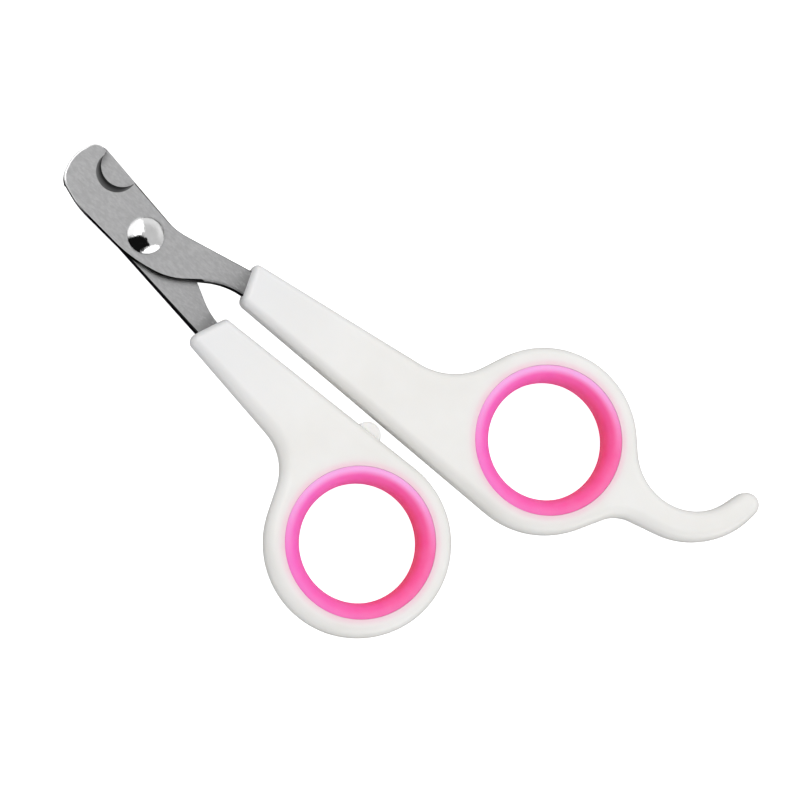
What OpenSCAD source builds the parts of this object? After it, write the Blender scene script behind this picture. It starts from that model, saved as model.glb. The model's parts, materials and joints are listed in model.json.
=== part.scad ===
// Scissor-type pet nail trimmer.
// Two stamped steel blades turn on one rivet. Each blade has a half-round notch,
// and each tang is moulded into a plastic handle with a soft lined finger ring.
// Origin: on the table, under the middle of the closed trimmer's box.
// +X runs from the rivet towards the handles, +Y towards the finger handle, +Z up towards the
// rivet's domed head. Front means +Z and back means -Z.
// The parts are drawn about the rivet's axis, with z = 0 midway between the blades' sliding
// faces, and place() then moves them to the origin.
// Name endings: _t thickness, _r radius, _d diameter, _h height, _w width, _l length.

/* [Blades] */
// Thickness of each blade
blade_t = 1.6; // [1.3:0.1:1.9]
// Gap between the two sliding faces
blade_gap = 0.02; // [0.01:0.01:0.06]
// Radius of the notch at its cutting edge
notch_r = 3.5; // [3.2:0.05:3.7]
// How far the ground bevel leans back through the blade's thickness
bevel_w = 1.6; // [1.0:0.05:1.8]
// How much smaller the bevel's radius is than the notch's, leaving a straight land at the edge
edge_land = 0.06; // [0.04:0.01:0.12]
// Height of the polished chamfer round the outer face of the blade
edge_chamfer = 0.2; // [0.1:0.05:0.5]
// Radius of the anchor holes in the tangs
anchor_r = 1.3; // [0.8:0.1:1.5]

/* [Rivet] */
// Diameter of the domed head
head_d = 6.3; // [5.6:0.1:7.0]
// Height of the domed head
head_h = 1.55; // [1.0:0.05:1.8]
// Diameter of the rivet's shank
shank_d = 3.0; // [2.4:0.1:3.4]
// Radial running clearance between the shank and the rear blade
running_gap = 0.04; // [0.02:0.01:0.08]
// Diameter of the washer at the back
washer_d = 5.6; // [5.0:0.1:6.4]
// Thickness of the washer
washer_t = 0.4; // [0.3:0.05:0.5]
// Diameter of the peened tail
tail_d = 4.4; // [4.0:0.1:4.8]
// Height of the peened tail
tail_h = 0.8; // [0.5:0.05:0.9]

/* [Handles] */
// Thickness of both handles
handle_t = 6.5; // [6.3:0.1:7.5]
// How far the rounded edge reaches in over the face
round_w = 2.2; // [1.2:0.1:2.3]
// How far the rounded edge reaches down the side
round_h = 2.4; // [1.6:0.1:2.8]
// Outer radius of the finger ring
ring_r = 15.8; // [15.7:0.05:15.85]
// Outer radius of the thumb ring
thumb_ring_r = 15.7; // [15.6:0.05:15.8]
// Radius of the fillet where the finger handle's shank meets its ring
finger_fillet_r = 11.6; // [11.0:0.05:11.7]
// Radius of the fillet where the thumb handle's shank meets its ring
thumb_fillet_r = 9.0; // [8.6:0.1:9.2]
// Radius of the rounded end of the little finger rest
rest_tip_r = 2.15; // [2.15:0.05:2.3]

/* [Ring liners] */
// Diameter of the soft liner where it meets the handle
liner_d = 25.3; // [25.0:0.1:25.7]
// Clear diameter for a finger
hole_d = 19.8; // [19.0:0.1:20.2]
// Length of the narrowest, straight part of the hole
land_l = 1.2; // [1.0:0.1:2.0]
// How far the liner's face stands back from the handle's face
liner_back = 0.1; // [0.1:0.05:0.5]
// Height of the rib that locks the liner in the handle
rib_h = 1.6; // [1.0:0.1:2.0]
// How far the rib stands out
rib_w = 0.6; // [0.3:0.1:0.8]

/* [Stop bumper] */
// Radius of the bumper disc
bumper_r = 2.25; // [2.1:0.05:2.4]
// Thickness of the bumper disc
bumper_t = 3.0; // [2.6:0.1:3.6]

/* [Preview] */
// How far the trimmer is opened, in degrees
opened = 0; // [0:1:60]

/* [Hidden] */

fit_gap = 0.02;        // clearance between fixed parts
cut_over = 1;          // how far a cutter runs past the face it cuts

// Blades
face_z = blade_gap / 2;             // distance of each sliding face from z = 0
chamfer_ratio = 0.8;                // width of the chamfer over its height
bevel_disc_h = 0.5;                 // thickness of the two discs that span the bevel
front_notch = [-10.43, 6.37];
rear_notch = [-11.85, -3.0];
front_anchors = [[27, 6.1], [37, 6.4]];
rear_anchors = [[26, -5.2], [36, -5.4]];

// Rivet
head_gap = 0.01;                    // between the front blade and the head
head_rim_h = 0.2;                   // straight rim under the dome
tail_rim_h = 0.15;                  // straight rim of the tail
shank_in_tail = 0.29;               // how far the shank runs into the tail
head_z = face_z + blade_t + head_gap;
washer_z = -face_z - blade_t - fit_gap - washer_t;
tail_z = washer_z - fit_gap;

// Handles, liners and bumper
handle_half = handle_t / 2;
finger_ring = [72.8, 18.5];
thumb_ring = [59.6, -15.4];
round_step = 18;                    // degrees between layers of a rounded edge
liner_rim_w = 0.9;                  // from the end of the crown to the liner's outside
liner_edge = [[-0.45, -0.06], [0, -0.35]];  // softened edge, from the liner's top outer corner
bumper_at = [49.2, -0.75];
bumper_chamfer = 0.3;

// Outline steps
arc_step = 7;                       // degrees
line_step = 2.5;                    // mm
min_corner_r = 0.15;                // smallest radius an inset leaves on a corner
min_bisector = 0.6;                 // limits how far a sharp corner moves along its bisector

// ---- Outlines ----
// An outline is a belt run anticlockwise round a list of circles [x, y, radius, side].
// side is 1 where the belt wraps a circle from outside and -1 where it hollows in round it.

rest_tip = [106.2, 33.15, rest_tip_r, 1];
front_tip = [-11.0, 2.0, 6.42, 1];

// Finger handle with its little finger rest
finger_belt = [
    [19.78, 3.17, 1.3, 1],
    [finger_ring.x, finger_ring.y, ring_r, 1],
    [94.6, 11.6, 6.6, -1],
    [93.8, 33.3, 14.5, 1],
    rest_tip,
    [93.6, 34.5, 10.3, -1],
    [finger_ring.x, finger_ring.y, ring_r, 1],
    [46.1, 25.6, finger_fillet_r, -1],
    [17.72, 7.82, 1.06, 1]
];

// Thumb handle
thumb_belt = [
    [17.95, -7.4, 1.33, 1],
    [34.97, -20.35, thumb_fillet_r, -1],
    [thumb_ring.x, thumb_ring.y, thumb_ring_r, 1],
    [19.4, -2.45, 0.85, 1]
];

// Front blade and its tang
front_belt = [
    [-13.91, 0.45, 3.2, 1],
    [-8.1, 12.3, 16.3, 1],
    [-1.4, 19.8, 24.25, 1],
    [2.26, 7.37, 11.4, 1],
    [19.88, -9.5, 12.6, -1],
    [42.5, 5.3, 1.2, 1],
    [42.5, 7.5, 1.2, 1],
    [19.5, 4.6, 3, 1],
    [2.6, 15.9, 11.85, -1],
    [-14.62, 4.26, 2.2, 1],
    front_tip
];

// Rear blade and its tang
rear_belt = [
    [-13.9, 0.45, 3.1, 1],
    [19.5, -3.9, 3, 1],
    [41, -6.5, 1.2, 1],
    [41, -4.3, 1.2, 1],
    [20.3, 9.8, 12.82, -1],
    [-0.24, -7.0, 11.6, 1],
    [-14.2, 4.3, 2.5, 1],
    [-11.0, 2.0, 6.3, 1]
];

// Middle of the closed trimmer's box, seen from above
box_lo = [front_tip.x - front_tip[2], thumb_ring.y - thumb_ring_r];
box_hi = [rest_tip.x + rest_tip_r, rest_tip.y + rest_tip_r];
middle = (box_lo + box_hi) / 2;

// ---- Belts ----

function centre(circle) = [circle[0], circle[1]];
function signed_r(circle) = circle[3] * circle[2];

// Unit vector to the right of a heading, which is outwards on an anticlockwise belt
function outward(angle) = [sin(angle), -cos(angle)];

// Heading of the tangent from one circle to the next
function heading(circle, next) =
    let (line = centre(next) - centre(circle))
    atan2(line.y, line.x) + asin((signed_r(circle) - signed_r(next)) / norm(line));

// Signed turn made on a circle
function turn(from, to, side) =
    side > 0 ? (to - from) - 360 * floor((to - from) / 360)
             : -((from - to) - 360 * floor((from - to) / 360));

// Headings out of each circle of a belt
function headings(circles) =
    [for (i = [0 : len(circles) - 1]) heading(circles[i], circles[(i + 1) % len(circles)])];

// Number of steps [on each circle, on the straight after it]
function steps(circles) =
    let (angles = headings(circles), count = len(circles))
    [for (i = [0 : count - 1])
        let (circle = circles[i],
             next = circles[(i + 1) % count],
             swept = turn(angles[(i + count - 1) % count], angles[i], circle[3]),
             run = norm(centre(next) - centre(circle)
                        + (signed_r(next) - signed_r(circle)) * outward(angles[i])))
        [max(3, ceil(abs(swept) / arc_step)), ceil(run / line_step)]];

// A belt moved inwards by a depth. A corner too small to shrink moves in along its bisector.
function inset(circles, depth) =
    let (angles = headings(circles), count = len(circles))
    [for (i = [0 : count - 1])
        let (circle = circles[i],
             radius = circle[2],
             convex = circle[3] > 0,
             before = angles[(i + count - 1) % count],
             after = angles[i],
             bisector = -(outward(before) + outward(after))
                        / max(min_bisector, 1 + cos(before - after)),
             excess = convex ? max(0, depth - (radius - min_corner_r)) : 0)
        concat(centre(circle) + excess * bisector,
               [convex ? max(radius - depth, min_corner_r) : radius + depth, circle[3]])];

// Points of a belt, with a given number of steps on each circle and each straight
function belt(circles, counts) =
    let (angles = headings(circles), count = len(circles))
    [for (i = [0 : count - 1])
        let (circle = circles[i],
             next = circles[(i + 1) % count],
             before = angles[(i + count - 1) % count],
             swept = turn(before, angles[i], circle[3]),
             arc_steps = counts[i][0],
             line_steps = counts[i][1],
             from = centre(circle) + signed_r(circle) * outward(angles[i]),
             to = centre(next) + signed_r(next) * outward(angles[i]))
        each concat(
            [for (j = [0 : arc_steps])
                centre(circle) + signed_r(circle) * outward(before + swept * j / arc_steps)],
            [for (j = [1 : 1 : line_steps - 1]) from + (to - from) * j / line_steps])];

// Triangles between the lower and upper edges of an outline, given as indices of its points.
// Each call steps along the edge whose next point is further left.
function zip(points, lower, upper, lower_end, upper_end, done = []) =
    lower == lower_end && upper == upper_end ? done :
    let (count = len(points),
         next_lower = (lower + 1) % count,
         next_upper = (upper + count - 1) % count,
         lower_first = points[next_lower][0] <= points[next_upper][0])
    upper == upper_end || (lower != lower_end && lower_first)
        ? zip(points, next_lower, upper, lower_end, upper_end,
              concat(done, [[lower, next_lower, upper]]))
        : zip(points, lower, next_upper, lower_end, upper_end,
              concat(done, [[lower, next_upper, upper]]));

// Triangles that fill an outline whose lower and upper edges run steadily from left to right
function fill(points) =
    let (count = len(points),
         across = [for (point = points) point[0]],
         left = search(min(across), across)[0],
         right = search(max(across), across)[0])
    zip(points, left, (left + count - 1) % count, right, (right + 1) % count);

// A closed solid through a stack of insets of one belt: layers are [inset, height]
module skin(circles, layers) {
    counts = steps(circles);
    rings = [for (layer = layers)
        [for (point = belt(inset(circles, layer[0]), counts)) [point.x, point.y, layer[1]]]];
    size = len(rings[0]);
    last = len(rings) - 1;
    polyhedron(
        points = [for (ring = rings) each ring],
        faces = concat(
            fill(rings[0]),
            [for (face = fill(rings[last])) [for (i = [2, 1, 0]) last * size + face[i]]],
            [for (j = [0 : last - 1]) for (i = [0 : size - 1])
                [j * size + i, (j + 1) * size + i, (j + 1) * size + (i + 1) % size]],
            [for (j = [0 : last - 1]) for (i = [0 : size - 1])
                [j * size + i, (j + 1) * size + (i + 1) % size, j * size + (i + 1) % size]]));
}

// ---- Shapes used by more than one part ----

// Moves a part drawn about the rivet to its place in the trimmer's frame
module place() {
    translate([-middle.x, -middle.y, handle_half]) children();
}

// Turns the thumb half about the rivet
module swing() {
    rotate([0, 0, -opened]) children();
}

// A blade lying on z = 0 with its chamfered face up. The bevel leans by lean along Y.
module blade_body(circles, notch, lean) {
    difference() {
        skin(circles, [[0, 0],
                       [0, blade_t - edge_chamfer],
                       [edge_chamfer * chamfer_ratio, blade_t]]);
        // Half-round notch
        translate([notch.x, notch.y, -cut_over])
            cylinder(r = notch_r, h = blade_t + 2 * cut_over, $fn = 96);
        // Ground bevel: its sharp edge is by the sliding face,
        // and it runs out at both ends of the notch
        hull() {
            translate([notch.x, notch.y, -bevel_disc_h])
                cylinder(r = notch_r - edge_land, h = bevel_disc_h, $fn = 72);
            translate([notch.x, notch.y + lean, blade_t])
                cylinder(r = notch_r - edge_land, h = bevel_disc_h, $fn = 72);
        }
    }
}

// An upright cylinder at each anchor hole
module anchor_pins(anchors, radius, z, height) {
    for (at = anchors)
        translate([at.x, at.y, z]) cylinder(r = radius, h = height, $fn = 48);
}

// Cutters for a blade's rivet bore and anchor holes, starting at height z
module blade_holes(z, bore_d, anchors) {
    height = blade_t + 3 * cut_over;
    translate([0, 0, z]) cylinder(d = bore_d, h = height, $fn = 64);
    anchor_pins(anchors, anchor_r, z, height);
}

// The room a tang takes up in its handle, less the plastic that fills the anchor holes
module tang_room(circles, z, anchors) {
    difference() {
        translate([0, 0, z - fit_gap])
            linear_extrude(height = blade_t + 2 * fit_gap)
                polygon(belt(inset(circles, -fit_gap), steps(circles)));
        anchor_pins(anchors, anchor_r - fit_gap, z - cut_over, blade_t + 2 * cut_over);
    }
}

// One [inset, height] layer of a rounded handle edge: side is 1 at the front, -1 at the back
function edge_layer(angle, side) =
    [round_w * (1 - cos(angle)), side * (handle_half - round_h + round_h * sin(angle))];

// A handle slab with rounded edges
module handle_body(circles) {
    skin(circles, concat(
        [for (angle = [90 : -round_step : 0]) edge_layer(angle, -1)],
        [for (angle = [0 : round_step : 90]) edge_layer(angle, 1)]));
}

// Seat for a ring liner: a plain bore with a locking groove
module liner_seat(at) {
    translate([at.x, at.y, 0]) {
        cylinder(d = liner_d, h = handle_t + 2 * cut_over, center = true, $fn = 120);
        cylinder(r = liner_d / 2 + rib_w, h = rib_h, center = true, $fn = 120);
    }
}

// Half profile of a ring liner: crowned bore with a straight land, softened outer edges
module liner_profile() {
    outer_r = liner_d / 2 - fit_gap;
    inner_r = hole_d / 2;
    top = handle_half - liner_back;
    land_top = land_l / 2;
    rib_top = rib_h / 2 - fit_gap;
    crown_w = outer_r - inner_r - liner_rim_w;
    upper = concat(
        [for (angle = [0 : 10 : 90])
            [inner_r + crown_w * (1 - cos(angle)), land_top + (top - land_top) * sin(angle)]],
        [for (step = liner_edge) [outer_r, top] + step],
        [[outer_r, rib_top], [outer_r + rib_w, rib_top]]);
    polygon(concat(upper, [for (i = [len(upper) - 1 : -1 : 0]) [upper[i].x, -upper[i].y]]));
}

module liner(at) {
    translate([at.x, at.y, 0])
        rotate_extrude($fn = 144)
            liner_profile();
}

// A spherical cap standing on z = 0
module cap(base_r, height) {
    sphere_r = (base_r * base_r + height * height) / (2 * height);
    intersection() {
        translate([0, 0, height - sphere_r]) sphere(r = sphere_r, $fn = 96);
        cylinder(r = base_r, h = height + cut_over, $fn = 96);
    }
}

// ---- Parts ----

module front_blade() {
    color("silver")
    place()
    difference() {
        translate([0, 0, face_z]) blade_body(front_belt, front_notch, -bevel_w);
        blade_holes(-cut_over, shank_d + 2 * fit_gap, front_anchors);
    }
}

module rear_blade() {
    color("darkgray")
    place()
    swing()
    difference() {
        // Mirrored so that the chamfered face looks back
        translate([0, 0, -face_z])
            mirror([0, 0, 1])
                blade_body(rear_belt, rear_notch, bevel_w);
        blade_holes(-blade_t - 2 * cut_over, shank_d + 2 * running_gap, rear_anchors);
    }
}

module pivot_rivet() {
    shank_z = tail_z - shank_in_tail;
    dome_z = head_z + head_rim_h;
    tail_cap_z = tail_z - tail_rim_h;
    color("gainsboro")
    place()
    union() {
        translate([0, 0, shank_z]) cylinder(d = shank_d, h = dome_z - shank_z, $fn = 64);
        // Domed head
        translate([0, 0, head_z]) cylinder(d = head_d, h = head_rim_h, $fn = 96);
        translate([0, 0, dome_z]) cap(head_d / 2, head_h - head_rim_h);
        // Peened tail
        translate([0, 0, tail_cap_z]) cylinder(d = tail_d, h = tail_rim_h, $fn = 96);
        translate([0, 0, tail_cap_z]) mirror([0, 0, 1]) cap(tail_d / 2, tail_h - tail_rim_h);
    }
}

module rivet_washer() {
    color("lightgray")
    place()
    translate([0, 0, washer_z])
        difference() {
            cylinder(d = washer_d, h = washer_t, $fn = 96);
            translate([0, 0, -cut_over])
                cylinder(d = shank_d + 2 * fit_gap, h = washer_t + 2 * cut_over, $fn = 64);
        }
}

module finger_handle() {
    color("whitesmoke")
    place()
    difference() {
        handle_body(finger_belt);
        liner_seat(finger_ring);
        tang_room(front_belt, face_z, front_anchors);
    }
}

module thumb_handle() {
    color("whitesmoke")
    place()
    swing()
    difference() {
        handle_body(thumb_belt);
        liner_seat(thumb_ring);
        tang_room(rear_belt, -face_z - blade_t, rear_anchors);
        // Pocket for the stop bumper
        translate([bumper_at.x, bumper_at.y, 0])
            cylinder(r = bumper_r + fit_gap, h = bumper_t + 2 * fit_gap, center = true, $fn = 64);
    }
}

module finger_ring_liner() {
    color("hotpink") place() liner(finger_ring);
}

module thumb_ring_liner() {
    color("hotpink") place() swing() liner(thumb_ring);
}

module stop_bumper() {
    half = bumper_t / 2;
    face_r = bumper_r - bumper_chamfer;
    side = half - bumper_chamfer;
    color("mistyrose")
    place()
    swing()
    translate([bumper_at.x, bumper_at.y, 0])
        rotate_extrude($fn = 64)
            polygon([[0, -half], [face_r, -half], [bumper_r, -side],
                     [bumper_r, side], [face_r, half], [0, half]]);
}

front_blade();
rear_blade();
pivot_rivet();
rivet_washer();
finger_handle();
thumb_handle();
finger_ring_liner();
thumb_ring_liner();
stop_bumper();
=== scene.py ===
# Ring-handled scissors whose short blades each carry a ground half-round notch.
# Pieces are drawn in millimetres about the rivet's axis. The blades slide on each other at z = 0,
# with the front blade above and the rear blade below. The tips point to -X and the rings lie
# towards +X: the finger ring on the +Y side, the thumb ring on the -Y side.
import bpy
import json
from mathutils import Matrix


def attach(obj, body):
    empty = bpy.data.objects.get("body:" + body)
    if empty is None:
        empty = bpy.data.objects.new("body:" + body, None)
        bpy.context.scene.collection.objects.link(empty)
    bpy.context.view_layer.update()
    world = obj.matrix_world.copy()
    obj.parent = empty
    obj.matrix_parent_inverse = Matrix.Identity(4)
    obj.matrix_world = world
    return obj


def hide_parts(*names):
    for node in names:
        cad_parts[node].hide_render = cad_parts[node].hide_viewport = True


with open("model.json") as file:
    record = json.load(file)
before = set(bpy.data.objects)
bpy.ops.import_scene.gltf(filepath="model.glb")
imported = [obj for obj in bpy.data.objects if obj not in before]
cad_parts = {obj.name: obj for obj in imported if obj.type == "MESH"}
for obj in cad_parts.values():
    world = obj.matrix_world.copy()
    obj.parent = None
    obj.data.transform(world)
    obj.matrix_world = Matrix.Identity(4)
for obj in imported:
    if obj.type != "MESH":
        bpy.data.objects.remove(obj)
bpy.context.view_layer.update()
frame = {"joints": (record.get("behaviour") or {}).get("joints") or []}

import json
import math

import bmesh
import bpy
import numpy as np
from mathutils import Matrix, Vector
from mathutils.geometry import delaunay_2d_cdt

MM = 0.001
SCENE = bpy.context.scene
# The rivet's place in the loaded frame, in millimetres
PIVOT = next(j for j in frame["joints"] if j["name"] == "pivot")
AT = tuple(round(c / MM, 4) for c in PIVOT["pos_m"])

# ------------------------------------------------------------------ sizes, in millimetres
H = 3.25                      # half the handle's thickness
ROUND_W, ROUND_H = 2.2, 2.5   # width and height of the handle's rounded edge
ROUND_POWER = 2.1             # exponent of its superellipse, where 2 is an ellipse
BLADE_T = 1.6
GAP = 0.01                    # from the sliding plane to each blade
CLEAR = 0.02                  # play between a piece and its room
SEAT_R = 12.65                # seat of the liner in the handle
SEAT_SEGMENTS = 180
GROOVE = 0.8                  # half height of the seat's locking groove
GROOVE_DEPTH = 0.6
HOLE_R = 9.9                  # bore of the liner
BORE_R = 1.53                 # rivet hole in the blades and the washer
ANCHOR_R = 1.3                # holes in the tangs
NOTCH_R = 3.5
BEVEL_W = 1.6                 # width of the grind along Y
WASHER_T = 0.4
BUMPER_R, BUMPER_H = 2.25, 1.5   # radius and half height
MIN_CORNER = 0.12             # least radius left when a belt moves inwards

FINGER_RING = (72.8, 18.5)
THUMB_RING = (59.6, -15.4)
FRONT_NOTCH = (-10.43, 6.37)
REAR_NOTCH = (-11.85, -3.0)
BUMPER = (49.2, -0.75)
FRONT_ANCHORS = [(27, 6.1), (37, 6.4)]
REAR_ANCHORS = [(26, -5.2), (36, -5.4)]

# A belt runs anticlockwise round circles of (x, y, radius, side).
# Side 1 is a circle inside the belt, -1 one outside it.
FINGER_BELT = [
    (19.78, 3.17, 1.3, 1), (*FINGER_RING, 15.8, 1), (94.6, 11.6, 6.6, -1), (93.8, 33.3, 14.5, 1),
    (106.2, 33.15, 2.15, 1), (93.6, 34.5, 10.3, -1), (*FINGER_RING, 15.8, 1),
    (46.1, 25.6, 11.6, -1), (17.72, 7.82, 1.06, 1)]
THUMB_BELT = [
    (17.95, -7.4, 1.33, 1), (34.97, -20.35, 9.0, -1), (*THUMB_RING, 15.7, 1),
    (19.4, -2.45, 0.85, 1)]
FRONT_BELT = [
    (-13.91, 0.45, 3.2, 1), (-8.1, 12.3, 16.3, 1), (-1.4, 19.8, 24.25, 1), (2.26, 7.37, 11.4, 1),
    (19.88, -9.5, 12.6, -1), (42.5, 5.3, 1.2, 1), (42.5, 7.5, 1.2, 1), (19.5, 4.6, 3, 1),
    (2.6, 15.9, 11.85, -1), (-14.62, 4.26, 2.2, 1), (-11.0, 2.0, 6.42, 1)]
REAR_BELT = [
    (-13.9, 0.45, 3.1, 1), (19.5, -3.9, 3, 1), (41, -6.5, 1.2, 1), (41, -4.3, 1.2, 1),
    (20.3, 9.8, 12.82, -1), (-0.24, -7.0, 11.6, 1), (-14.2, 4.3, 2.5, 1),
    (-11.0, 2.0, 6.3, 1)]

# Shares of an inset at each circle of a belt
FINGER_ROUND = [0.6, 1, 1, 0.9, 0.85, 0.9, 1, 1, 0.6]
THUMB_ROUND = [0.6, 1, 1, 0.6]
# Chamfer on the blade's outer face, widest round the tip and by the neck
FRONT_CHAMFER = [1.4, 0.7, 0.6, 1.0, 2.1, 0.5, 0.5, 0.6, 0.5, 1.0, 1.4]
REAR_CHAMFER = [1.4, 0.6, 0.6, 0.6, 0.6, 0.6, 1.0, 1.4]
# Worn edge on the sliding face, widest along the -Y side of the rear blade
FRONT_WORN = [0.1] * 11
REAR_WORN = [0.1, 1.3, 1.0, 0.3, 0.3, 0.1, 0.1, 0.1]


def metres(point):
    """A point about the rivet, in millimetres, as a point of the scene."""
    return tuple((c + a) * MM for c, a in zip(point, AT))


# ------------------------------------------------------------------ outlines
def heading(a, b):
    """Direction of the straight from circle a to circle b."""
    dx, dy = b[0] - a[0], b[1] - a[1]
    lean = (a[3] * a[2] - b[3] * b[2]) / math.hypot(dx, dy)
    return math.atan2(dy, dx) + math.asin(max(-1, min(1, lean)))


def headings(circles):
    return [heading(a, b) for a, b in zip(circles, circles[1:] + circles[:1])]


def turned(a, b, side):
    """Angle turned from heading a to heading b, positive anticlockwise."""
    t = (b - a) % (2 * math.pi)
    if side > 0:
        return t
    return t - 2 * math.pi if t > 1e-12 else 0.0


def steps(circles, degrees, run):
    """Steps on each circle, none wider than the angle or longer than the run.

    The straights stay whole, so no point lies in line with its neighbours."""
    h, arc, out = headings(circles), math.radians(degrees), []
    for i, (_, _, r, side) in enumerate(circles):
        t = abs(turned(h[i - 1], h[i], side))
        out.append(max(5, math.ceil(t / arc), math.ceil(t * r / run)))
    return out


def inset(circles, d, share=None):
    """The belt moved inwards by d, or by its own share of d at each circle."""
    h, out = headings(circles), []
    for i, (x, y, r, side) in enumerate(circles):
        a, b = h[i - 1], h[i]
        g = d * (share[i] if share else 1.0)
        # A circle too small for the inset moves inwards instead
        over = max(0.0, g - (r - MIN_CORNER)) if side > 0 else 0.0
        inward = np.array([-math.sin(a) - math.sin(b), math.cos(a) + math.cos(b)])
        inward = inward / max(0.6, 1 + math.cos(a - b))
        radius = max(r - g, MIN_CORNER) if side > 0 else r + g
        out.append((x + over * inward[0], y + over * inward[1], radius, side))
    return out


def belt(circles, counts):
    """Points along the belt, with the given number of steps on each circle."""
    h, points = headings(circles), []
    for i, (x, y, r, side) in enumerate(circles):
        a, t = h[i - 1], turned(h[i - 1], h[i], side)
        for j in range(counts[i] + 1):
            p = a + t * j / counts[i]
            points.append((x + side * r * math.sin(p), y - side * r * math.cos(p)))
    return np.array(points)


def circle(centre, r, n):
    a = np.arange(n) * 2 * math.pi / n
    return np.stack([centre[0] + r * np.cos(a), centre[1] + r * np.sin(a)], 1)


def inside(outline, p):
    """Which points of p lie inside the closed outline."""
    x, y = p[:, 0][:, None], p[:, 1][:, None]
    a, b = outline, np.roll(outline, -1, 0)
    spans = (a[:, 1] > y) != (b[:, 1] > y)
    with np.errstate(divide="ignore", invalid="ignore"):
        cross_x = (b[:, 0] - a[:, 0]) * (y - a[:, 1]) / (b[:, 1] - a[:, 1]) + a[:, 0]
    return (np.sum(spans & (x < cross_x), 1) % 2) == 1


def distance(outline, p):
    """Distance of each point of p from the closed outline."""
    a = outline
    d = np.roll(outline, -1, 0) - a
    q = p[:, None, :]
    t = np.clip(((q - a) * d).sum(2) / np.maximum((d * d).sum(1), 1e-12), 0, 1)
    return np.sqrt((((a + t[:, :, None] * d) - q) ** 2).sum(2)).min(1)


def grid_points(loops, pitch, margin=0.45):
    """Staggered points between the loops, kept off them by a share of the pitch."""
    lo, hi = loops[0].min(0), loops[0].max(0)
    g = np.array([(x, y) for j, y in enumerate(np.arange(lo[1], hi[1], pitch * 0.866))
                  for x in np.arange(lo[0] + (j % 2) * pitch / 2, hi[0], pitch)])
    ok = inside(loops[0], g) & (distance(loops[0], g) > pitch * margin)
    for hole in loops[1:]:
        ok &= ~inside(hole, g) & (distance(hole, g) > pitch * margin)
    return g[ok]


def fill(loops, grid=None):
    """Triangles between closed loops, the first being the outer one.

    Returns the points, the triangles and the number of loop points."""
    points, edges = [], []
    for outline in loops:
        start, n = len(points), len(outline)
        points += [Vector((float(x), float(y))) for x, y in outline]
        edges += [(start + i, start + (i + 1) % n) for i in range(n)]
    loop_count = len(points)
    if grid:
        points += [Vector((float(x), float(y))) for x, y in grid_points(loops, grid)]
    # Output kind 1 keeps the triangles that the loops enclose, so only the holes are left to clear
    verts, _, faces, origins, _, _ = delaunay_2d_cdt(points, edges, [], 1, 1e-6)
    tris = np.array([list(t) for t in faces])
    middles = np.array([[p.x, p.y] for p in verts])[tris].mean(1)
    ok = np.ones(len(tris), bool)
    for hole in loops[1:]:
        ok &= ~inside(hole, middles)

    def anticlockwise(t):
        a, b, c = (points[i] for i in t)
        return (b.x - a.x) * (c.y - a.y) - (b.y - a.y) * (c.x - a.x) > 0

    out = [[origins[i][0] for i in t] for t in tris[ok]]
    out = [t if anticlockwise(t) else t[::-1] for t in out]
    return np.array([[p.x, p.y] for p in points]), out, loop_count


# ------------------------------------------------------------------ mesh tools
class Build:
    """Collects points and faces in millimetres and makes a mesh object in metres."""

    def __init__(self):
        self.verts, self.faces = [], []

    def loop(self, points, z):
        """Adds flat points at height z and returns the index of the first."""
        start = len(self.verts)
        self.verts += [(float(x), float(y), float(z)) for x, y in points]
        return start

    def face(self, f):
        self.faces.append(tuple(f))

    def band(self, a, b, n):
        """Quads between anticlockwise loops a (below) and b (above), facing outwards."""
        for i in range(n):
            j = (i + 1) % n
            self.face((a + i, a + j, b + j, b + i))

    def make(self, name, mats, sharp=30):
        me = bpy.data.meshes.new(name)
        me.from_pydata([metres(v) for v in self.verts], [], self.faces)
        for p in me.polygons:
            p.use_smooth = True
        bm = bmesh.new()
        bm.from_mesh(me)
        bmesh.ops.remove_doubles(bm, verts=bm.verts, dist=2e-7)
        bmesh.ops.dissolve_degenerate(bm, edges=bm.edges, dist=1e-7)
        loose = [v for v in bm.verts if not v.link_faces]
        bmesh.ops.delete(bm, geom=loose, context="VERTS")
        bm.to_mesh(me)
        bm.free()
        me.validate()
        me.set_sharp_from_angle(angle=math.radians(sharp))
        for m in mats:
            me.materials.append(m)
        o = bpy.data.objects.new(name, me)
        SCENE.collection.objects.link(o)
        return o


def prism(name, loops, z0, z1):
    """A closed slab with straight walls, used as a cutter. The first loop is the outer one."""
    b = Build()
    low = b.loop(np.concatenate(loops), z0)
    high = b.loop(np.concatenate(loops), z1)
    start = 0
    for j, outline in enumerate(loops):
        below, above = (low, high) if j == 0 else (high, low)
        b.band(below + start, above + start, len(outline))
        start += len(outline)
    for t in fill(loops)[1]:
        b.face([high + i for i in t])
        b.face([low + i for i in t][::-1])
    return b.make(name, [])


def lathe(name, profile, centre, mats, n=192, closed=True, sharp=32):
    """Turns a profile of (r, z) round a vertical axis. A point with r = 0 becomes a pole."""
    b = Build()
    rings = []
    for r, z in profile:
        pole = r < 1e-6
        rings.append((pole, b.loop([centre] if pole else circle(centre, r, n), z)))
    following = rings[1:] + (rings[:1] if closed else [])
    for (pole_a, a), (pole_c, c) in zip(rings, following):
        if pole_a:
            for i in range(n):
                b.face((a, c + (i + 1) % n, c + i))
        elif pole_c:
            for i in range(n):
                b.face((a + i, a + (i + 1) % n, c))
        else:
            b.band(a, c, n)
    return b.make(name, mats, sharp)


def apply_modifiers(o):
    bpy.context.view_layer.update()
    dg = bpy.context.evaluated_depsgraph_get()
    me = bpy.data.meshes.new_from_object(
        o.evaluated_get(dg), preserve_all_data_layers=True, depsgraph=dg)
    o.modifiers.clear()
    me.name = o.data.name + "_done"
    o.data = me


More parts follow.
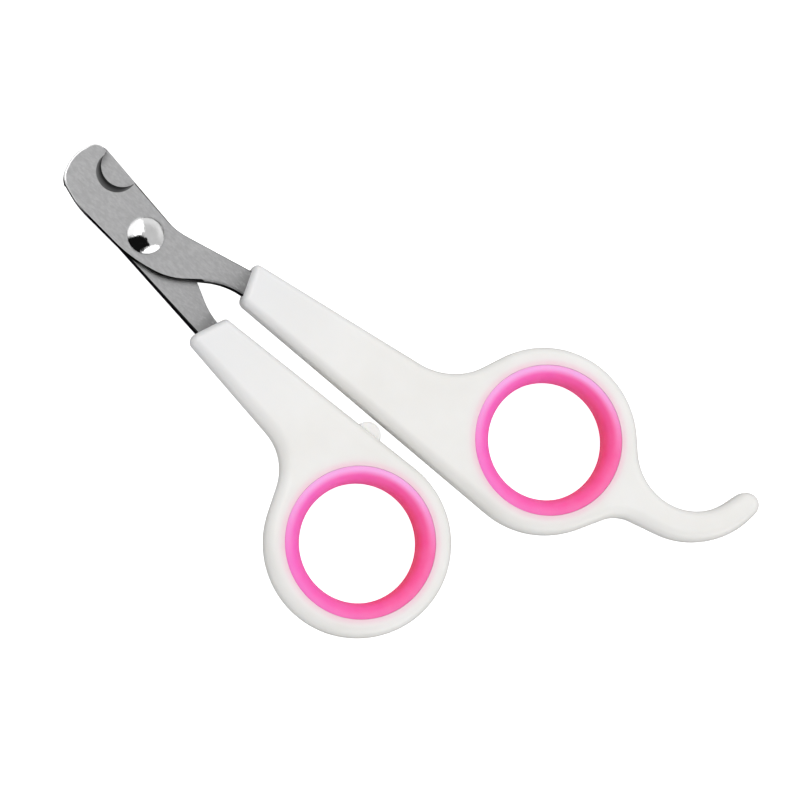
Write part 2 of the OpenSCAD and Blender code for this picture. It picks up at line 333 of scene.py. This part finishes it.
def cut(o, tools, sharp):
    """Cuts the tools out of o, in order, and clears them away."""
    for tool in tools:
        md = o.modifiers.new("cut", "BOOLEAN")
        md.operation = "DIFFERENCE"
        md.object = tool
        md.solver = "EXACT"
    apply_modifiers(o)
    for tool in tools:
        bpy.data.objects.remove(tool)
    for p in o.data.polygons:
        p.use_smooth = True
    o.data.set_sharp_from_angle(angle=math.radians(sharp))


# ------------------------------------------------------------------ shader tools
class Nodes:
    """Short forms for building node trees."""

    def __init__(self, tree):
        self.tree = tree

    def node(self, kind, **settings):
        n = self.tree.nodes.new(kind)
        for key, value in settings.items():
            setattr(n, key, value)
        return n

    def put(self, sock, value):
        """Links a socket, or sets a value, into an input."""
        if isinstance(value, bpy.types.NodeSocket):
            self.tree.links.new(value, sock)
        elif isinstance(value, tuple) and sock.type == "RGBA":
            sock.default_value = (*value, 1)
        else:
            sock.default_value = value

    def surface(self, values):
        """Fills inputs of the Principled shader by name."""
        for key, value in values.items():
            self.put(self.bsdf.inputs[key], value)

    def math(self, op, a, b=0.0, c=None):
        n = self.node("ShaderNodeMath", operation=op)
        self.put(n.inputs[0], a)
        self.put(n.inputs[1], b)
        if c is not None:
            self.put(n.inputs[2], c)
        return n.outputs[0]

    def plus(self, a, b):
        return self.math("ADD", a, b)

    def times(self, a, *factors):
        for factor in factors:
            a = self.math("MULTIPLY", a, factor)
        return a

    def vmath(self, op, a, b=None, scale=None):
        n = self.node("ShaderNodeVectorMath", operation=op)
        self.put(n.inputs[0], a)
        if b is not None:
            self.put(n.inputs[1], b)
        if scale is not None:
            self.put(n.inputs[3], scale)
        return n.outputs["Value" if op in ("DISTANCE", "DOT_PRODUCT") else "Vector"]

    def stretch(self, vec, factors):
        return self.vmath("MULTIPLY", vec, factors)

    def ramp(self, value, span, to=(0.0, 1.0), kind="LINEAR"):
        """Maps the span to another range, clamped. The span may run downwards."""
        n = self.node("ShaderNodeMapRange", interpolation_type=kind, clamp=True)
        for i, v in enumerate((value, *span, *to)):
            self.put(n.inputs[i], v)
        return n.outputs[0]

    def ease(self, value, span, to=(0.0, 1.0)):
        return self.ramp(value, span, to, kind="SMOOTHSTEP")

    def noise(self, vec, scale, detail=3.0, rough=0.5, distortion=0.0):
        n = self.node("ShaderNodeTexNoise")
        self.put(n.inputs["Vector"], vec)
        n.inputs["Scale"].default_value = scale
        n.inputs["Detail"].default_value = detail
        n.inputs["Roughness"].default_value = rough
        n.inputs["Distortion"].default_value = distortion
        return n.outputs["Fac"]

    def mix(self, amount, a, b):
        n = self.node("ShaderNodeMix", data_type="RGBA", blend_type="MIX")
        self.put(n.inputs[0], amount)
        self.put(n.inputs[6], a)
        self.put(n.inputs[7], b)
        return n.outputs[2]

    def relief(self, *layers):
        """Bumps laid one on another, each (height, strength, depth in metres)."""
        normal = None
        for height, strength, depth in layers:
            n = self.node("ShaderNodeBump")
            n.inputs["Strength"].default_value = strength
            n.inputs["Distance"].default_value = depth
            self.put(n.inputs["Height"], height)
            if normal is not None:
                self.put(n.inputs["Normal"], normal)
            normal = n.outputs[0]
        return normal

    def place(self):
        """Object coordinates in millimetres from the rivet, so the texture turns with the piece."""
        t = self.node("ShaderNodeTexCoord")
        return self.vmath("SUBTRACT", self.vmath("SCALE", t.outputs["Object"], scale=1000.0), AT)

    def axes(self, vec):
        s = self.node("ShaderNodeSeparateXYZ")
        self.put(s.inputs[0], vec)
        return s.outputs


def material(name):
    """A new material and its nodes, with an empty Principled shader."""
    m = bpy.data.materials.new(name)
    m.use_nodes = True
    m.node_tree.nodes.clear()
    k = Nodes(m.node_tree)
    out = k.node("ShaderNodeOutputMaterial")
    k.bsdf = k.node("ShaderNodeBsdfPrincipled")
    k.put(out.inputs[0], k.bsdf.outputs[0])
    return m, k


def grey(v):
    return (v, v, v)


# ------------------------------------------------------------------ materials
FLATTEN = (1.0, 1.0, 0.0)


def plastic(name, ring):
    """Warm white moulded plastic, finely textured, with a painted pink glow from the liner on the
    rim of its seat.
    """
    m, k = material(name)
    p = k.place()
    x = k.axes(p)[0]
    cloud = k.noise(p, scale=0.09, rough=0.55)
    fine = k.noise(p, scale=2.4, rough=0.6)
    grain = k.noise(p, scale=9.0, detail=2)
    base = k.mix(k.ramp(cloud, span=(0.35, 0.65)), (0.845, 0.835, 0.81), (0.875, 0.868, 0.85))
    # cooler near the neck, as thin plastic over steel is
    base = k.mix(k.ramp(x, span=(40.0, 17.0), to=(0.0, 0.75)), base, (0.83, 0.835, 0.85))
    # painted pink glow from the liner on the rim of its seat
    d = k.vmath("DISTANCE", k.stretch(p, FLATTEN), (*ring, 0.0))
    pink_glow = k.plus(k.ease(d, span=(13.9, SEAT_R), to=(0.0, 0.42)),
                   k.ease(d, span=(14.9, 12.9), to=(0.0, 0.14)))
    patches = k.noise(p, scale=0.5, detail=2)
    pink_glow = k.times(pink_glow, k.ramp(patches, span=(0.3, 0.7), to=(0.75, 1.0)))
    base = k.mix(pink_glow, base, (0.95, 0.45, 0.62))
    uneven = k.plus(k.times(cloud, 0.6), k.times(fine, 0.4))
    k.surface({
        "Base Color": base,
        "Roughness": k.ramp(uneven, span=(0.3, 0.7), to=(0.30, 0.42)),
        "IOR": 1.49,
        "Subsurface Weight": 0.12,
        "Subsurface Radius": (1.0, 0.85, 0.7),
        "Subsurface Scale": 0.0009,
        "Coat Weight": 0.12,
        "Coat Roughness": 0.22,
        "Normal": k.relief((grain, 0.10, 0.00002), (fine, 0.12, 0.00005), (cloud, 0.25, 0.00025)),
    })
    return m


def elastomer(name, ring, bore_shade_colour):
    """Soft pink liner, slightly translucent, with painted shade of deeper red in its bore, painted
    light on its sides and a painted highlight on its bevel.
    """
    m, k = material(name)
    centre = (*ring, 0.0)
    p = k.place()
    flat = k.stretch(p, FLATTEN)
    d = k.vmath("DISTANCE", flat, centre)
    cloud = k.noise(p, scale=0.35)
    fine = k.noise(p, scale=4.0, rough=0.6)
    depth = k.ease(d, span=(10.9, 9.8))

    def across(direction):
        return k.vmath("DOT_PRODUCT", k.vmath("SUBTRACT", flat, centre), direction)

    # painted light: lighter, cooler pink on the -X side, by the tips, and darker, warmer red on the
    # +X side
    side = k.ramp(across((0.093, 0.043, 0.0)), span=(-1.0, 1.0))
    base = k.mix(side, (0.98, 0.13, 0.56), (1.0, 0.085, 0.335))
    # painted shade in the bore, a deeper red, strongest on the +X side
    bore_shade = k.times(depth, k.ramp(side, span=(0.35, 1.0), to=(0.15, 0.95)))
    base = k.mix(bore_shade, base, bore_shade_colour)
    base = k.mix(k.ramp(cloud, span=(0.3, 0.7), to=(0.0, 0.12)), base, (1.0, 0.35, 0.6))
    # a painted highlight, a lighter band on the outer bevel, strongest towards -X and +Y
    far = k.ramp(across((-0.053, 0.060, 0.0)), span=(-0.2, 0.8), to=(0.16, 0.95))
    base = k.mix(k.times(k.ease(d, span=(11.0, 12.2)), far), base, (1.0, 0.45, 0.84))
    k.surface({
        "Base Color": base,
        "Roughness": k.ramp(fine, span=(0.3, 0.7), to=(0.46, 0.58)),
        "IOR": 1.42,
        "Subsurface Weight": 0.25,
        "Subsurface Radius": (1.2, 0.35, 0.5),
        "Subsurface Scale": 0.0009,
        "Sheen Weight": 0.08,
        "Normal": k.relief((fine, 0.2, 0.00003), (cloud, 0.2, 0.0001)),
    })
    return m


class Steel:
    """Streaked stainless steel, to which each finish adds its own shades."""

    def __init__(self, name, tones, streaks=(0.35, 7.0, 2.0)):
        self.material, self.k = material(name)
        k = self.k
        self.p = k.place()
        self.brush = k.noise(k.stretch(self.p, streaks), scale=1.0, detail=5, rough=0.65)
        self.cloud = k.noise(self.p, scale=0.22)
        self.base = k.mix(k.ramp(self.brush, span=(0.3, 0.7)), *tones)

    def speck(self):
        return self.k.noise(self.p, scale=3.2, detail=4, rough=0.7)

    def shade(self, amount, colour):
        self.base = self.k.mix(amount, self.base, colour)

    def finish(self, rough, streak_relief, speck=None):
        k = self.k
        uneven = k.plus(k.times(self.brush, 0.5), k.times(self.cloud, 0.5))
        layers = [(self.brush, streak_relief, 0.00003)]
        if speck:
            layers.append((speck, 0.15, 0.00004))
        k.surface({
            "Base Color": self.base,
            "Metallic": 1.0,
            "Roughness": k.ramp(uneven, span=(0.3, 0.7), to=rough),
            "Normal": k.relief(*layers),
        })
        return self.material


def satin_steel(name):
    """Flat faces of the blades, with a satin grain along X."""
    s = Steel(name, tones=((0.55, 0.55, 0.555), (0.61, 0.61, 0.615)))
    k = s.k
    x = k.axes(s.p)[0]
    speck = s.speck()
    s.shade(k.ramp(s.cloud, span=(0.35, 0.65), to=(0.0, 0.25)), (0.46, 0.46, 0.47))
    s.shade(k.ramp(speck, span=(0.58, 0.72), to=(0.0, 0.24)), grey(0.76))
    # darker towards the handles, most of all just before them
    s.shade(k.ramp(x, span=(10.0, 20.0), to=(0.0, 0.40)), (0.30, 0.30, 0.305))
    s.shade(k.ease(x, span=(14.8, 18.2), to=(0.0, 0.62)), grey(0.14))
    # uneven satin, coarser than the grain itself
    mottle = k.noise(k.stretch(s.p, (1.1, 2.6, 1.0)), scale=1.0, rough=0.6)
    s.shade(k.ramp(mottle, span=(0.50, 0.34), to=(0.0, 0.30)), grey(0.42))
    s.shade(k.ramp(mottle, span=(0.50, 0.66), to=(0.0, 0.30)), grey(0.76))
    t = k.node("ShaderNodeVectorTransform", vector_type="VECTOR",
               convert_from="OBJECT", convert_to="WORLD")
    t.inputs[0].default_value = (1.0, 0.0, 0.0)
    k.surface({"Anisotropic": 0.45, "Tangent": t.outputs[0]})
    return s.finish(rough=(0.30, 0.42), streak_relief=0.18, speck=speck)


def ground_steel(name):
    """Hollow grind, with painted shade: near-black at the cutting edge and painted lighter towards
    the outer face, most round the tip.
    """
    # near-black base: painted shade
    s = Steel(name, tones=(grey(0.010), grey(0.04)))
    k = s.k
    x, _, z = k.axes(s.p)
    # painted light: lighter towards the outer face, and more so towards the tip
    out = k.ramp(k.math("ABSOLUTE", z), span=(0.35, 1.5))
    tip = k.ramp(x, span=(-8.5, -13.5), to=(0.35, 1.0))
    s.shade(k.times(out, tip), (0.42, 0.42, 0.425))
    return s.finish(rough=(0.25, 0.4), streak_relief=0.5)


def edge_steel(name):
    """Sheared walls, streaked along Z, painted near-black for the dark reflection they show."""
    s = Steel(name, tones=(grey(0.012), grey(0.05)), streaks=(9.0, 9.0, 1.2))
    return s.finish(rough=(0.35, 0.6), streak_relief=0.5, speck=s.speck())


def polished_steel_painted_light(name):
    """Chamfer, with a painted highlight round the tip and painted near-black shade elsewhere."""
    # near-white base: a painted highlight
    s = Steel(name, tones=(grey(0.82), grey(0.95)))
    k = s.k
    x = k.axes(s.p)[0]
    # painted shade: near-black away from the tip
    s.shade(k.ramp(x, span=(-12.2, -8.5)), grey(0.03))
    # a few fine handling scratches
    scratch = k.noise(k.stretch(s.p, (1.3, 26.0, 1.0)), scale=1.0, detail=1, distortion=0.6)
    s.shade(k.ramp(scratch, span=(0.70, 0.76), to=(0.0, 0.35)), grey(0.75))
    # painted shade where another piece stands over the face, found by ambient occlusion
    ao = k.node("ShaderNodeAmbientOcclusion", samples=12)
    ao.inputs["Distance"].default_value = 0.0032
    s.shade(k.ramp(ao.outputs["AO"], span=(0.95, 0.60), to=(0.0, 0.95)), grey(0.02))
    s.finish(rough=(0.08, 0.2), streak_relief=0.18)
    # less metallic round the tip, so that its near-white base shows as a painted highlight
    k.surface({"Metallic": k.ramp(x, span=(-12.2, -9.0), to=(0.25, 1.0))})
    return s.material


def plain_steel(name):
    s = Steel(name, tones=(grey(0.45), grey(0.6)))
    return s.finish(rough=(0.25, 0.4), streak_relief=0.5)


def chrome(name):
    """Bright, slightly uneven chrome."""
    m, k = material(name)
    p = k.place()
    cloud = k.noise(p, scale=0.6)
    fine = k.noise(p, scale=6.0, rough=0.7)
    k.surface({
        "Base Color": k.mix(k.ramp(cloud, span=(0.3, 0.7)), grey(0.86), grey(0.95)),
        "Metallic": 1.0,
        "Roughness": k.ramp(fine, span=(0.3, 0.8), to=(0.035, 0.11)),
        "Normal": k.relief((cloud, 0.6, 0.00016), (fine, 0.25, 0.00003)),
    })
    return m


def milky(name):
    """Soft milky plastic."""
    m, k = material(name)
    fine = k.noise(k.place(), scale=3.0, rough=0.6)
    k.surface({
        "Base Color": k.mix(k.ramp(fine, span=(0.3, 0.7)), (0.84, 0.83, 0.81), (0.88, 0.87, 0.86)),
        "Roughness": k.ramp(fine, span=(0.3, 0.7), to=(0.4, 0.55)),
        "Subsurface Weight": 0.35,
        "Subsurface Radius": (1.0, 0.8, 0.6),
        "Subsurface Scale": 0.001,
        "Normal": k.relief((fine, 0.15, 0.00005)),
    })
    return m


M_FINGER = plastic("handle_plastic_finger", FINGER_RING)
M_THUMB = plastic("handle_plastic_thumb", THUMB_RING)
# the deeper reds passed to the liners are painted shade for their bores
M_FINGER_LINER = elastomer("liner_rubber_finger", FINGER_RING, bore_shade_colour=(1.0, 0.055, 0.20))
M_THUMB_LINER = elastomer("liner_rubber_thumb", THUMB_RING, bore_shade_colour=(1.0, 0.045, 0.17))
M_FACE = satin_steel("blade_steel_face")
M_GROUND = ground_steel("blade_steel_ground")
M_EDGE = edge_steel("blade_steel_edge")
M_POLISH_PAINTED_LIGHT = polished_steel_painted_light("blade_steel_polish_painted_light")
M_CHROME = chrome("rivet_chrome")
M_WASHER = plain_steel("washer_steel")
M_BUMPER = milky("bumper_soft")
BLADE_MATS = [M_FACE, M_POLISH_PAINTED_LIGHT, M_GROUND, M_EDGE]
FACE, POLISH_PAINTED_LIGHT, GROUND, EDGE = range(4)


# ------------------------------------------------------------------ handles
def edge_profile():
    """(inset, z) of the handle's rounded side, from the lower face to the upper one."""
    up = []
    for i in range(17):
        a = i / 16 * math.pi / 2
        across, rise = math.cos(a) ** (2 / ROUND_POWER), math.sin(a) ** (2 / ROUND_POWER)
        up.append((ROUND_W * (1 - across), (H - ROUND_H) + ROUND_H * rise))
    up.append((ROUND_W + 0.12, H))
    # a hairline parting ridge at mid height
    ridge = [(0.0, -0.07), (-0.02, 0.0), (0.0, 0.07)]
    return [(d, -z) for d, z in up[::-1]] + ridge + up


def seat_profile():
    """(radius, z) of the liner's seat and its locking groove, from the upper face down."""
    lip = 0.05
    seat = [(SEAT_R + lip + 0.1, H)]
    seat += [(SEAT_R + lip * (1 - math.sin(a)), H - lip * (1 - math.cos(a)))
             for a in np.linspace(0, math.pi / 2, 7)]
    seat += [(SEAT_R, GROOVE), (SEAT_R + GROOVE_DEPTH, GROOVE)]
    return seat + [(r, -z) for r, z in seat[::-1]]


def handle(name, circles, share, ring, mat):
    """A handle: rounded outer edge, flat faces, and a filleted seat for the liner."""
    b = Build()
    counts = steps(circles, degrees=3.0, run=0.8)
    layers = edge_profile()
    outlines = [belt(inset(circles, d, share), counts) for d, z in layers]
    m, n = len(outlines[0]), SEAT_SEGMENTS
    side = [b.loop(outline, z) for outline, (d, z) in zip(outlines, layers)]
    for low, high in zip(side, side[1:]):
        b.band(low, high, m)
    profile = seat_profile()
    seat = [b.loop(circle(ring, r, n), z) for r, z in profile]
    for low, high in zip(seat[1:], seat):
        for i in range(n):
            j = (i + 1) % n
            b.face((low + i, high + i, high + j, low + j))
    rim = circle(ring, profile[0][0], n)
    for end, z, seat_start in ((-1, H, seat[0]), (0, -H, seat[-1])):
        points, tris, fixed = fill([outlines[end], rim], grid=1.6)
        extra = b.loop(points[fixed:], z)
        index = [*range(side[end], side[end] + m), *range(seat_start, seat_start + n),
                 *range(extra, extra + len(points) - fixed)]
        for t in tris:
            f = [index[i] for i in t]
            b.face(f if z > 0 else f[::-1])
    return b.make(name, [mat], sharp=32)


def tang_room(circles, z0, anchors):
    """The room a tang takes up in its handle, whose plastic fills the tang's anchor holes."""
    c = inset(circles, -CLEAR)
    outline = belt(c, steps(c, degrees=6, run=1.0))
    return prism("tang_room", [outline] + [circle(p, ANCHOR_R - CLEAR, 48) for p in anchors],
                 z0 - CLEAR, z0 + BLADE_T + CLEAR)


def bumper_room():
    z = BUMPER_H + CLEAR
    return prism("bumper_room", [circle(BUMPER, BUMPER_R + CLEAR, 96)], -z, z)


def liner(name, ring, mat):
    """Soft ring liner: crowned bore, rounded lips and the rib that locks it in the handle."""
    outer, top, crown_z, rib = SEAT_R - CLEAR, H - 0.07, 0.6, GROOVE - CLEAR
    crown_w = outer - HOLE_R - 0.6
    up = [(HOLE_R + crown_w * (1 - math.cos(a)), crown_z + (top - crown_z) * math.sin(a))
          for a in np.linspace(0, math.pi / 2, 18)]
    up += [(outer - 0.20, top - 0.004), (outer - 0.06, top - 0.018), (outer - 0.01, top - 0.05),
           (outer, top - 0.10), (outer, rib), (outer + 0.58, rib)]
    # bore upwards, over the lip and down the outside, then reversed so that it faces outwards
    profile = up + [(r, -z) for r, z in up[::-1]]
    return lathe(name, profile[::-1], ring, [mat])


finger = handle("finger_handle_shell", FINGER_BELT, FINGER_ROUND, FINGER_RING, M_FINGER)
cut(finger, [tang_room(FRONT_BELT, GAP, FRONT_ANCHORS)], sharp=32)
thumb = handle("thumb_handle_shell", THUMB_BELT, THUMB_ROUND, THUMB_RING, M_THUMB)
cut(thumb, [tang_room(REAR_BELT, -GAP - BLADE_T, REAR_ANCHORS), bumper_room()], sharp=32)
finger_liner = liner("finger_liner_soft", FINGER_RING, M_FINGER_LINER)
thumb_liner = liner("thumb_liner_soft", THUMB_RING, M_THUMB_LINER)


# ------------------------------------------------------------------ rivet, washer, bumper
WASHER_TOP = -GAP - BLADE_T - 0.02


def dome(base, rim, rise, count):
    """(r, height) from the rim to the pole of a sphere that rises so far over its base radius."""
    sphere = (base * base + rise * rise) / (2 * rise)
    return [(sphere * math.sin(a) if a > 1e-9 else 0.0, sphere * math.cos(a) - (sphere - rise))
            for a in np.linspace(math.asin(rim / sphere), 0.0, count)]


def make_rivet():
    """Domed head on the front blade, and a smaller domed tail below the washer."""
    shank, head, tail = 1.5, 3.15, 2.2
    top = GAP + BLADE_T + 0.01
    back = WASHER_TOP - 0.01 - WASHER_T
    cap = dome(base=head - 0.05, rim=head - 0.05, rise=1.35, count=26)
    tail_cap = dome(base=tail, rim=tail - 0.03, rise=0.6, count=14)
    profile = [(r, back - 0.16 - h) for r, h in tail_cap[::-1]]
    profile += [(tail, back - 0.14), (tail, back - 0.005), (shank, back - 0.005)]
    profile += [(shank, top), (head, top), (head, top + 0.12)]
    profile += [(r, top + 0.2 + h) for r, h in cap]
    return lathe("rivet_polished", profile, (0, 0), [M_CHROME], n=128, closed=False, sharp=40)


def make_washer():
    z, low = WASHER_TOP, WASHER_TOP - WASHER_T
    profile = [(BORE_R, low), (2.72, low), (2.8, z - 0.32), (2.8, z - 0.06), (2.74, z), (BORE_R, z)]
    return lathe("washer_plain", profile, (0, 0), [M_WASHER], n=96)


def make_bumper():
    fillet = 0.4
    up = [(0.0, BUMPER_H)]
    up += [(BUMPER_R - fillet * (1 - math.sin(a)), BUMPER_H - fillet * (1 - math.cos(a)))
           for a in np.linspace(0, math.pi / 2, 6)]
    return lathe("bumper_disc", [(r, -z) for r, z in up] + up[::-1], BUMPER, [M_BUMPER],
                 n=96, closed=False)


rivet = make_rivet()
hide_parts("pivot_rivet")
washer = make_washer()
bumper = make_bumper()


# ------------------------------------------------------------------ blades
def blade_plate(name, circles, chamfer, worn):
    """Blade blank over the sliding plane, chamfered on its outer face."""
    width, drop, top = 0.22, 0.20, GAP + BLADE_T
    # inset, z, share of the inset at each circle
    layers = [(0.34, GAP, worn), (0.12, GAP + 0.06, worn), (0.0, GAP + 0.24, worn),
              (0.0, top - drop, chamfer), (width * 0.35, top - drop * 0.3, chamfer),
              (width, top, chamfer)]
    b = Build()
    counts = steps(circles, degrees=2.5, run=0.6)
    outlines = [belt(inset(circles, d, share), counts) for d, _, share in layers]
    starts = [b.loop(outline, z) for outline, (_, z, _) in zip(outlines, layers)]
    for low, high in zip(starts, starts[1:]):
        b.band(low, high, len(outlines[0]))
    for end in (0, -1):
        for t in fill([outlines[end]])[1]:
            f = [starts[end] + i for i in t]
            b.face(f if end else f[::-1])
    return b.make(name, BLADE_MATS, sharp=8)


def notch_grind(name, notch, shift):
    """Cutter of the notch, slightly hollow, that shifts along Y towards the outer face."""
    n, over = 200, 0.6
    levels = [(0.0, -over), (0.0, GAP)]
    levels += [(shift * t ** 0.85, GAP + BLADE_T * t) for t in np.linspace(0, 1, 9)[1:]]
    levels.append((shift, GAP + BLADE_T + over))
    b = Build()
    chain = [b.loop(circle((notch[0], notch[1] + dy), NOTCH_R - 0.06, n), z) for dy, z in levels]
    for low, high in zip(chain, chain[1:]):
        b.band(low, high, n)
    b.face([chain[0] + i for i in range(n)][::-1])
    b.face([chain[-1] + i for i in range(n)])
    return b.make(name, [], sharp=40)


def paint_blade(me, notch, shift):
    """Gives each face of a blade its finish."""
    me.materials.clear()
    for m in BLADE_MATS:
        me.materials.append(m)
    for p in me.polygons:
        nx, ny, nz = p.normal.x, p.normal.y, abs(p.normal.z)
        x, y = p.center.x / MM - AT[0], p.center.y / MM - AT[1]
        near = math.hypot(x - notch[0], y - (notch[1] + shift * 0.5))
        inward = (notch[0] - x) * nx + (notch[1] - y) * ny > 0
        if nz > 0.97:
            p.material_index = FACE
        elif near < 4.6 and inward and nz > 0.15:
            p.material_index = GROUND
        elif nz > 0.3 and abs(p.center.z / MM - AT[2]) > 0.8:
            p.material_index = POLISH_PAINTED_LIGHT
        else:
            p.material_index = EDGE


def blade(name, circles, chamfer, worn, notch, shift, anchors, rear=False):
    """Stamped blade with its notch, rivet hole and anchors. The rear one is turned below z = 0."""
    o = blade_plate(name, circles, chamfer, worn)
    grind = notch_grind(name + "_grind", notch, shift)

    def drill(kind, centre, r, n):
        return prism(name + kind, [circle(centre, r, n)], -1.0, 3.0)

    tools = [drill("_punch", notch, NOTCH_R, 192), grind, drill("_bore", (0, 0), BORE_R, 96)]
    tools += [drill("_anchor", centre, ANCHOR_R, 48) for centre in anchors]
    cut(o, tools, sharp=8)
    if rear:
        bm = bmesh.new()
        bm.from_mesh(o.data)
        for v in bm.verts:
            v.co.z = 2 * AT[2] * MM - v.co.z
        bmesh.ops.reverse_faces(bm, faces=bm.faces)
        bm.to_mesh(o.data)
        bm.free()
    paint_blade(o.data, notch, shift)
    return o


front = blade("front_blade_steel", FRONT_BELT, FRONT_CHAMFER, FRONT_WORN,
              FRONT_NOTCH, -BEVEL_W, FRONT_ANCHORS)
rear = blade("rear_blade_steel", REAR_BELT, REAR_CHAMFER, REAR_WORN,
             REAR_NOTCH, BEVEL_W, REAR_ANCHORS, rear=True)

# ------------------------------------------------------------------ bodies
# object, body it rides, piece it replaces, material slot
for o, body, piece, slot in (
        (finger, "finger_half", "finger_handle", "handle_plastic"),
        (finger_liner, "finger_half", "finger_ring_liner", "liner_rubber"),
        (front, "finger_half", "front_blade", "blade_steel"),
        (rivet, "finger_half", "pivot_rivet", "rivet_chrome"),
        (washer, "finger_half", "rivet_washer", "washer_steel"),
        (thumb, "thumb_half", "thumb_handle", "handle_plastic"),
        (thumb_liner, "thumb_half", "thumb_ring_liner", "liner_rubber"),
        (rear, "thumb_half", "rear_blade", "blade_steel"),
        (bumper, "thumb_half", "stop_bumper", "bumper_plastic")):
    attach(o, body)
    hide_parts(piece)


# ------------------------------------------------------------------ floor, light, camera
def make_floor():
    """Pale floor under the handles that looks brighter to the camera than it shines."""
    m, k = material("floor_pale")
    seen = k.node("ShaderNodeLightPath").outputs["Is Camera Ray"]
    k.surface({
        "Base Color": grey(0.93),
        "Roughness": 0.9,
        "Emission Color": grey(1.0),
        "Emission Strength": k.math("MULTIPLY_ADD", seen, 0.75, 0.1),
    })
    b = Build()
    s = 1500.0
    b.loop([(-s, -s), (s, -s), (s, s), (-s, s)], -H - 0.02)
    b.face((0, 1, 2, 3))
    floor = b.make("floor", [m])
    floor.visible_glossy = False


def polished_view(k, d, up):
    """Brightness that polished things see in direction d: a grey-white dome with cards."""
    dx, dy, dz = k.axes(d)
    # how far from the zenith, as a sine, and the heading in the horizontal plane
    flat = k.math("SUBTRACT", 1.0, k.times(dz, dz))
    low = k.math("SQRT", k.math("MAXIMUM", flat, 0.0001))
    ux, uy = k.math("DIVIDE", dx, low), k.math("DIVIDE", dy, low)

    def towards(hx, hy, span):
        """1 where the heading is within the wedge round (hx, hy)."""
        return k.ease(k.plus(k.times(ux, hx), k.times(uy, hy)), span)

    # the dome, a little brighter low on the +Y side
    v = k.ease(dz, span=(-0.08, 0.06), to=(0.0, 0.58))
    low_glow = k.ease(low, span=(0.72, 0.97), to=(0.0, 0.2))
    v = k.plus(v, k.times(k.ease(uy, span=(0.2, 0.9)), low_glow))
    # dark card on the -Y side
    dark = k.times(towards(0.148, -0.989, span=(0.53, 0.59)),
                   k.ease(low, span=(0.12, 0.22), to=(0.0, 0.99)))
    v = k.times(v, k.math("SUBTRACT", 1.0, dark))
    # broad white card past the blade tips
    tips = k.times(k.ease(low, span=(0.36, 0.42), to=(0.0, 1.45)),
                   k.ease(low, span=(0.70, 0.88), to=(1.0, 0.35)))
    v = k.plus(v, k.times(towards(-1.0, 0.05, span=(0.77, 0.81)), tips, up))
    # low white card by the rings
    card = k.plus(k.times(dx, 0.905), k.times(dy, -0.427))
    v = k.plus(v, k.times(k.ease(card, span=(0.78, 0.83), to=(0.0, 1.5)), up))
    # small lamp
    lamp = k.vmath("DOT_PRODUCT", d, (-0.478, -0.15, 0.865))
    return k.plus(v, k.ease(lamp, span=(0.985, 0.993), to=(0.0, 2.0))), dy, dz


def make_world():
    """A studio that shows cards to polished things and a smooth dome to matt ones."""
    soft_strength = 1.16
    world = bpy.data.worlds.new("studio")
    SCENE.world = world
    world.use_nodes = True
    world.node_tree.nodes.clear()
    k = Nodes(world.node_tree)
    out = k.node("ShaderNodeOutputWorld")
    background = k.node("ShaderNodeBackground")
    k.put(out.inputs[0], background.outputs[0])
    d = k.node("ShaderNodeTexCoord").outputs["Generated"]
    horizon = k.node("ShaderNodeMapRange", interpolation_type="SMOOTHSTEP", clamp=True)
    up = horizon.outputs[0]
    v, dy, dz = polished_view(k, d, up)
    # nothing shines from below the horizon
    for i, value in enumerate((dz, -0.10, 0.02, 0.0, 1.0)):
        k.put(horizon.inputs[i], value)
    # the smooth dome is brightest overhead and a little dimmer from the -Y side
    soft = k.times(k.math("MULTIPLY_ADD", dz, 0.80, 0.34),
                   k.ramp(dy, span=(-0.8, 0.6), to=(0.80, 1.06)), up, soft_strength)
    shine = k.node("ShaderNodeLightPath").outputs["Is Glossy Ray"]
    v = k.plus(k.times(v, shine), k.times(soft, k.math("SUBTRACT", 1.0, shine)))
    k.put(background.inputs["Color"], grey(1.0))
    k.put(background.inputs["Strength"], v)
    world.cycles.sampling_method = "NONE"


def make_light():
    """Soft round lamp overhead, aimed at the origin. Sizes in metres and watts."""
    lamp = bpy.data.lights.new("soft_key", "AREA")
    lamp.shape = "DISK"
    lamp.size = 0.6
    lamp.energy = 0.5
    o = bpy.data.objects.new("soft_key", lamp)
    SCENE.collection.objects.link(o)
    o.location = (0.08, 0.15, 0.85)
    o.rotation_euler = (-o.location).to_track_quat("-Z", "Y").to_euler()
    o.visible_glossy = False


def make_camera():
    """Camera above the scissors, half a metre from the point it looks at."""
    sensor, focal = 36.0, 135.0
    target = Vector(metres((49.6526, 7.5526, 0.0)))
    away = Vector((-0.08906801, -0.19726377, 0.97629601))
    right = Vector((0.74929373, 0.63251862, 0.19616091))
    up = Vector((-0.65622085, 0.74900413, 0.09147133))
    camera = bpy.data.cameras.new("camera")
    camera.sensor_width = sensor
    camera.angle = 2 * math.atan(sensor / 2 / focal)
    camera.clip_start = 0.01
    o = bpy.data.objects.new("camera", camera)
    SCENE.collection.objects.link(o)
    turn = Matrix((right, up, away)).transposed().to_4x4()
    o.matrix_world = Matrix.Translation(target + away * 0.5) @ turn
    SCENE.camera = o


make_floor()
make_world()
make_light()
make_camera()
SCENE.view_settings.view_transform = "Standard"
SCENE.view_settings.look = "None"
SCENE.view_settings.exposure = 0.0

bpy.context.view_layer.update()
